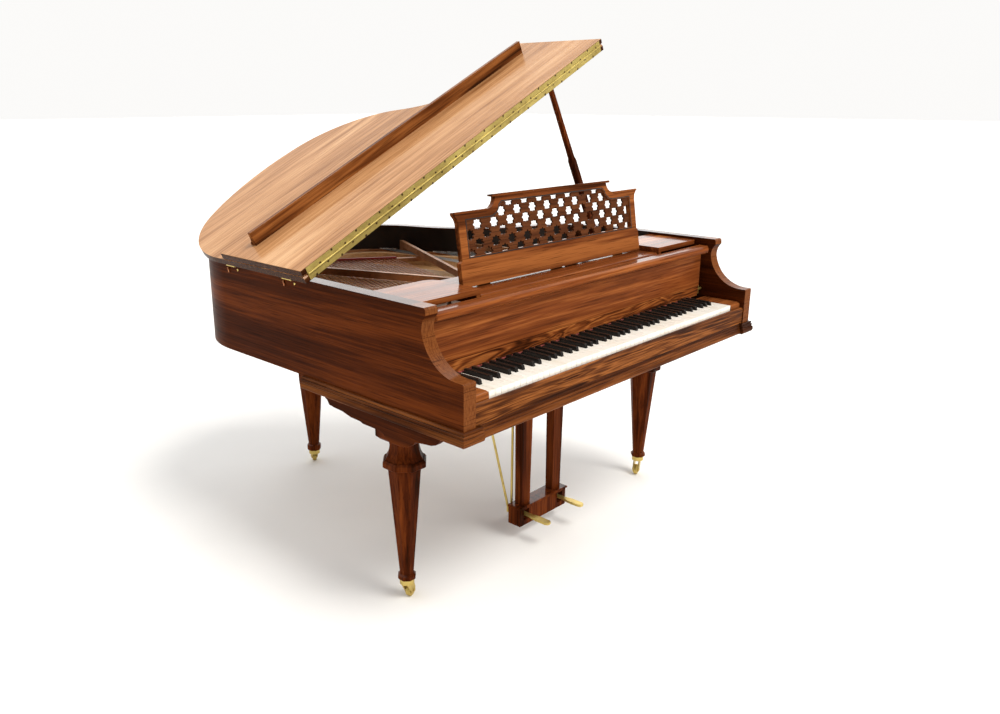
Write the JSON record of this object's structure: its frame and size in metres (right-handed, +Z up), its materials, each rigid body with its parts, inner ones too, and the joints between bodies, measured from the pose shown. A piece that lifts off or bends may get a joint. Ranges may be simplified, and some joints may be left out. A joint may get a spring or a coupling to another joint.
{
  "type": "grand piano",
  "caption": "Baby grand piano with propped lid, folded-back front flap, fretted music desk, open fallboard, pedal lyre and three octagonal legs on casters.",
  "frame": {"origin": "on the floor, below the middle of the bounding box", "axes": "+X along the keyboard from bass to treble, +Y from the player to the tail, +Z up"},
  "size_m": [1.4862, 1.3973, 1.586],
  "materials": {
    "walnut_case": "gloss",
    "walnut_front": "gloss",
    "walnut_lid": "gloss",
    "walnut_dark": "gloss",
    "black_inner": "satin",
    "maple": "satin",
    "spruce": "satin",
    "gold_iron": "satin",
    "steel": "satin",
    "copper_wound": "satin",
    "red_felt": "matt",
    "pale_felt": "matt",
    "ivory": "gloss",
    "ebony": "gloss",
    "brass": "polished"
  },
  "bodies": {
    "case": {"outer_rim": "walnut_case", "inner_rim": "black_inner", "key_bed": "walnut_dark", "base_mouldings": "walnut_front", "left_apron": "walnut_case", "right_apron": "walnut_case", "back_beams": "spruce", "soundboard": "spruce", "soundboard_ribs": "spruce", "bridges": "maple", "iron_plate": "gold_iron", "pin_block": "maple", "tuning_pins": "steel", "bass_strings": "copper_wound", "treble_strings": "steel", "string_felt": "red_felt", "key_slip": "walnut_front", "key_blocks": "walnut_front", "key_frame": "spruce", "action_frame": "maple", "hammers": "pale_felt", "shelf_boards": "walnut_front", "lid_brackets": "brass", "left_leg": "walnut_case", "right_leg": "walnut_case", "back_leg": "walnut_case", "lyre": "walnut_dark", "lyre_brace": "brass"},
    "lid_body": {"main_lid": "walnut_lid", "hinge_leaf_main": "brass", "spine_hinges": "brass"},
    "flap_body": {"lid_flap": "walnut_lid", "lid_lip_bar": "walnut_case", "hinge_leaf_flap": "brass"},
    "prop_body": {"lid_prop": "walnut_case"},
    "fallboard_body": {"fallboard": "walnut_front", "fallboard_pivots": "brass"},
    "tray_body": {"desk_tray": "walnut_front", "desk_hinges": "brass"},
    "desk_body": {"desk_frame": "walnut_front", "desk_fret_panel": "walnut_front"},
    "strut_body": {"desk_strut": "walnut_dark"},
    "damper_body": {"dampers": "walnut_dark"},
    "left_pedal_body": {"left_pedal": "brass"},
    "right_pedal_body": {"right_pedal": "brass"},
    "left_rod_body": {"left_rod": "brass"},
    "right_rod_body": {"right_rod": "brass"},
    "naturals_a_body": {"naturals_a": "ivory"},
    "naturals_b_body": {"naturals_b": "ivory"},
    "naturals_c_body": {"naturals_c": "ivory"},
    "naturals_d_body": {"naturals_d": "ivory"},
    "sharps_a_body": {"sharps_a": "ebony"},
    "sharps_b_body": {"sharps_b": "ebony"},
    "sharps_c_body": {"sharps_c": "ebony"},
    "left_caster_body": {"left_caster_fork": "brass"},
    "left_wheel_body": {"left_caster_wheel": "brass"},
    "right_caster_body": {"right_caster_fork": "brass"},
    "right_wheel_body": {"right_caster_wheel": "brass"},
    "back_caster_body": {"back_caster_fork": "brass"},
    "back_wheel_body": {"back_caster_wheel": "brass"}
  },
  "joints": [
    {"name": "lid_swing", "type": "hinge", "parent": "case", "child": "lid_body", "pos_m": [-0.725, 0.116, 0.91], "axis": [0, -1, 0], "range_deg": [0, 12]},
    {"name": "flap_fold", "type": "hinge", "parent": "lid_body", "child": "flap_body", "pos_m": [-0.08369, -0.122, 1.24918], "axis": [0.9003, 0, 0.4352], "range_deg": [0, 160]},
    {"name": "prop_fold", "type": "hinge", "parent": "case", "child": "prop_body", "pos_m": [0.636, -0.084, 0.88], "axis": [0, -1, 0], "range_deg": [0, 60.5]},
    {"name": "fallboard_swing", "type": "hinge", "parent": "case", "child": "fallboard_body", "pos_m": [0, -0.5155, 0.738], "axis": [1, 0, 0], "range_deg": [0, 84]},
    {"name": "desk_shelf_slide", "type": "slide", "parent": "case", "child": "tray_body", "axis": [0, 1, 0], "range_m": [-0.015, 0.05]},
    {"name": "desk_tilt", "type": "hinge", "parent": "tray_body", "child": "desk_body", "pos_m": [0, -0.39, 0.894], "axis": [-1, 0, 0], "range_deg": [0, 80.5]},
    {"name": "desk_strut_fold", "type": "hinge", "parent": "desk_body", "child": "strut_body", "pos_m": [0, -0.37279, 1.00265], "axis": [1, 0, 0], "range_deg": [0, 161.5]},
    {"name": "pedal_sustain", "type": "hinge", "parent": "case", "child": "right_pedal_body", "pos_m": [0.088, -0.334, 0.082], "axis": [1, 0, 0], "range_deg": [0, 9], "stiffness_Nm_per_rad": 2, "springref_deg": -14.32},
    {"name": "pedal_soft", "type": "hinge", "parent": "case", "child": "left_pedal_body", "pos_m": [-0.088, -0.334, 0.082], "axis": [1, 0, 0], "range_deg": [0, 9], "stiffness_Nm_per_rad": 2, "springref_deg": -14.32},
    {"name": "rod_sustain_lift", "type": "slide", "parent": "case", "child": "right_rod_body", "axis": [0, 0, 1], "range_m": [0, 0.005]},
    {"name": "rod_soft_lift", "type": "slide", "parent": "case", "child": "left_rod_body", "axis": [0, 0, 1], "range_m": [0, 0.005]},
    {"name": "damper_lift", "type": "slide", "parent": "case", "child": "damper_body", "axis": [0, 0, 1], "range_m": [0, 0.008]},
    {"name": "white_keys_a", "type": "hinge", "parent": "case", "child": "naturals_a_body", "pos_m": [0, -0.446, 0.685], "axis": [1, 0, 0], "range_deg": [0, 2.5], "stiffness_Nm_per_rad": 12, "springref_deg": -6.88},
    {"name": "white_keys_b", "type": "hinge", "parent": "case", "child": "naturals_b_body", "pos_m": [0, -0.446, 0.685], "axis": [1, 0, 0], "range_deg": [0, 2.5], "stiffness_Nm_per_rad": 12, "springref_deg": -6.88},
    {"name": "white_keys_c", "type": "hinge", "parent": "case", "child": "naturals_c_body", "pos_m": [0, -0.446, 0.685], "axis": [1, 0, 0], "range_deg": [0, 2.5], "stiffness_Nm_per_rad": 12, "springref_deg": -6.88},
    {"name": "white_keys_d", "type": "hinge", "parent": "case", "child": "naturals_d_body", "pos_m": [0, -0.446, 0.685], "axis": [1, 0, 0], "range_deg": [0, 2.5], "stiffness_Nm_per_rad": 12, "springref_deg": -6.88},
    {"name": "sharp_keys_a", "type": "hinge", "parent": "case", "child": "sharps_a_body", "pos_m": [0, -0.446, 0.685], "axis": [1, 0, 0], "range_deg": [0, 2.5], "stiffness_Nm_per_rad": 12, "springref_deg": -6.88},
    {"name": "sharp_keys_b", "type": "hinge", "parent": "case", "child": "sharps_b_body", "pos_m": [0, -0.446, 0.685], "axis": [1, 0, 0], "range_deg": [0, 2.5], "stiffness_Nm_per_rad": 12, "springref_deg": -6.88},
    {"name": "sharp_keys_c", "type": "hinge", "parent": "case", "child": "sharps_c_body", "pos_m": [0, -0.446, 0.685], "axis": [1, 0, 0], "range_deg": [0, 2.5], "stiffness_Nm_per_rad": 12, "springref_deg": -6.88},
    {"name": "swivel_left", "type": "hinge", "parent": "case", "child": "left_caster_body", "pos_m": [-0.603, -0.349, 0.06], "axis": [0, 0, 1], "continuous": true},
    {"name": "wheel_roll_left", "type": "hinge", "parent": "left_caster_body", "child": "left_wheel_body", "pos_m": [-0.58515, -0.3425, 0.019], "axis": [0.342, -0.9397, 0], "continuous": true},
    {"name": "swivel_right", "type": "hinge", "parent": "case", "child": "right_caster_body", "pos_m": [0.603, -0.349, 0.06], "axis": [0, 0, 1], "continuous": true},
    {"name": "wheel_roll_right", "type": "hinge", "parent": "right_caster_body", "child": "right_wheel_body", "pos_m": [0.58515, -0.3555, 0.019], "axis": [-0.342, 0.9397, 0], "continuous": true},
    {"name": "swivel_back", "type": "hinge", "parent": "case", "child": "back_caster_body", "pos_m": [-0.2, 0.626, 0.06], "axis": [0, 0, 1], "continuous": true},
    {"name": "wheel_roll_back", "type": "hinge", "parent": "back_caster_body", "child": "back_wheel_body", "pos_m": [-0.1905, 0.64245, 0.019], "axis": [0.866, -0.5, 0], "continuous": true}
  ],
  "couplings": [
    {"joint": "desk_strut_fold", "follows": "desk_tilt", "ratio": 2},
    {"joint": "rod_sustain_lift", "follows": "pedal_sustain", "m_per_rad": 0.03},
    {"joint": "rod_soft_lift", "follows": "pedal_soft", "m_per_rad": 0.03},
    {"joint": "damper_lift", "follows": "pedal_sustain", "m_per_rad": 0.048}
  ]
}
